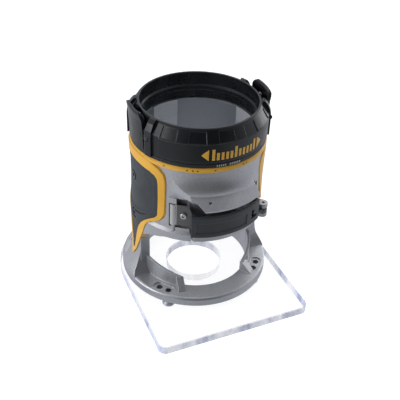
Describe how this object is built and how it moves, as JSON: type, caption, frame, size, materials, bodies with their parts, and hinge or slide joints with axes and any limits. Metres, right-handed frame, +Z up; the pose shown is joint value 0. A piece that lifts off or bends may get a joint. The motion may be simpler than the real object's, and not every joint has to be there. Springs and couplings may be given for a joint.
{
  "type": "trim router fixed base",
  "caption": "Aluminium clamp housing for a trim router motor on a clear D-shaped plate, with depth ring, release tabs, rubber grips and a cam lever at the front.",
  "frame": {"origin": "on the motor's axis, in the plane of the sub-base's underside", "axes": "+Z up along the motor's axis; -Y to the front, where the clamp lever and the plate's straight edge are; +X to the right"},
  "size_m": [0.103, 0.1242, 0.133],
  "materials": {
    "casting": "satin, fine cast grain",
    "clear_plate": "clear polycarbonate, polished, blue-violet edges",
    "screws": "black oxide",
    "yellow_trim": "satin moulded",
    "grip_rubber": "matt, finely textured",
    "black_plastic": "satin moulded nylon",
    "scale_plastic": "satin moulded",
    "steel": "plain ground steel",
    "spring_steel": "drawn wire",
    "lever_plastic": "satin moulded",
    "strap_steel": "stamped strip"
  },
  "bodies": {
    "base": {"base_casting": "casting", "sub_base": "clear_plate", "sub_base_screws": "screws", "trim_frame": "yellow_trim", "left_grip": "grip_rubber", "right_grip": "grip_rubber", "grip_screws": "screws", "ring_retainer": "spring_steel", "clamp_strap": "strap_steel", "anchor_pin": "steel", "strap_screw": "steel", "lever_pin": "steel"},
    "lever": {"clamp_lever": "lever_plastic"},
    "ring": {"adjustment_ring": "black_plastic", "tab_pins": "steel", "left_tab_spring": "spring_steel", "right_tab_spring": "spring_steel"},
    "scale": {"scale_ring": "scale_plastic"},
    "left_tab": {"left_release_tab": "black_plastic"},
    "right_tab": {"right_release_tab": "black_plastic"}
  },
  "joints": [
    {"name": "lever_swing", "type": "hinge", "parent": "base", "child": "lever", "pos_m": [0.03246, -0.03246, 0.062], "axis": [0, 0, 1], "range_deg": [0, 100]},
    {"name": "ring_turn", "type": "hinge", "parent": "base", "child": "ring", "pos_m": [0, 0, 0.112], "axis": [0, 0, 1], "continuous": true},
    {"name": "scale_turn", "type": "hinge", "parent": "ring", "child": "scale", "pos_m": [0, 0, 0.109], "axis": [0, 0, 1], "continuous": true},
    {"name": "left_tab_squeeze", "type": "hinge", "parent": "ring", "child": "left_tab", "pos_m": [-0.0389, 0, 0.1192], "axis": [0, 1, 0], "range_deg": [0, 7], "stiffness_Nm_per_rad": 0.15, "springref_deg": -8.59, "deforming": ["left_tab_spring"]},
    {"name": "right_tab_squeeze", "type": "hinge", "parent": "ring", "child": "right_tab", "pos_m": [0.0389, 0, 0.1192], "axis": [0, -1, 0], "range_deg": [0, 7], "stiffness_Nm_per_rad": 0.15, "springref_deg": -8.59, "deforming": ["right_tab_spring"]}
  ]
}
